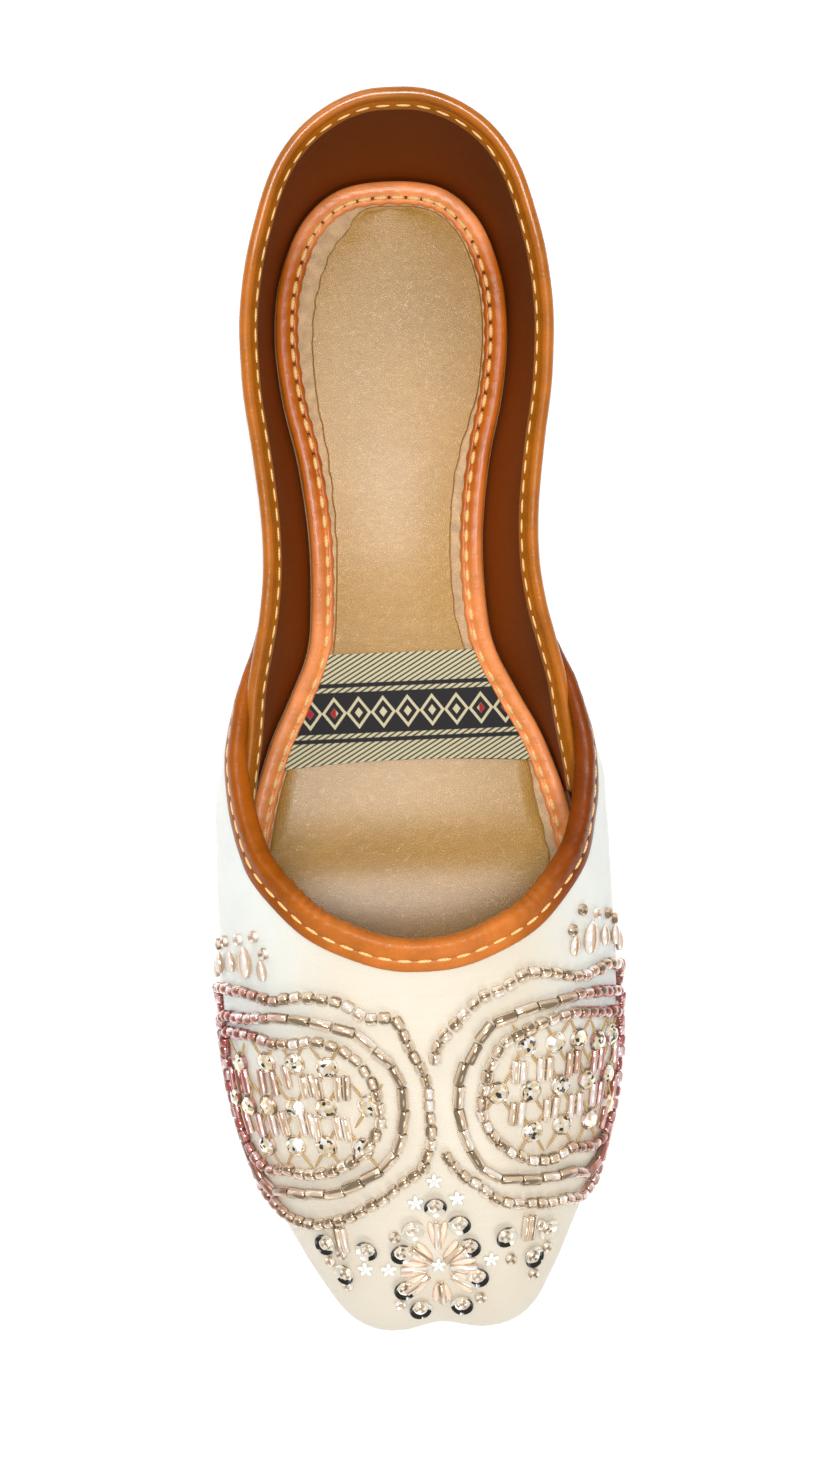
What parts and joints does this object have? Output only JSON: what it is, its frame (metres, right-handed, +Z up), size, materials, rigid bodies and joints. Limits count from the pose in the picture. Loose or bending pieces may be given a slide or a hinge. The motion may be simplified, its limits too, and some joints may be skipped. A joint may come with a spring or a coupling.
{
  "type": "mojari shoe",
  "caption": "Flat slip-on leather mojari with a squared toe, a low scooped throat, bound edges and bead-embroidered medallions on the vamp.",
  "frame": {"origin": "bottom centre of the shoe's bounding box, on the floor it stands on", "axes": "+Y from toe to heel along the shoe's length, +Z up, +X across, to the medial side of a right foot"},
  "size_m": [0.0879, 0.2499, 0.057],
  "materials": {
    "sole_leather": "burnished vegetable-tanned sole leather, satin",
    "ivory_leather": "smooth ivory leather with a soft satin sheen",
    "footbed_leather": "pebbled beige leather with a light pearly gloss",
    "tan_binding": "glossy tan binding leather with gold saddle stitches",
    "woven_label": "woven cream label with fine dark diagonal stripes, matt",
    "glass_beads": "silver-lined seed and bugle beads, champagne to rose, glossy"
  },
  "bodies": {
    "root": {"outsole": "sole_leather", "heel": "sole_leather", "upper": "ivory_leather", "insole": "footbed_leather", "insole_binding": "tan_binding", "label": "woven_label", "collar_binding": "tan_binding", "throat_binding": "tan_binding", "bead_row_left_outer": "glass_beads", "bead_row_left_middle": "glass_beads", "bead_row_left_inner": "glass_beads", "bead_row_right_outer": "glass_beads", "bead_row_right_middle": "glass_beads", "bead_row_right_inner": "glass_beads", "toe_flower": "glass_beads"}
  },
  "joints": []
}
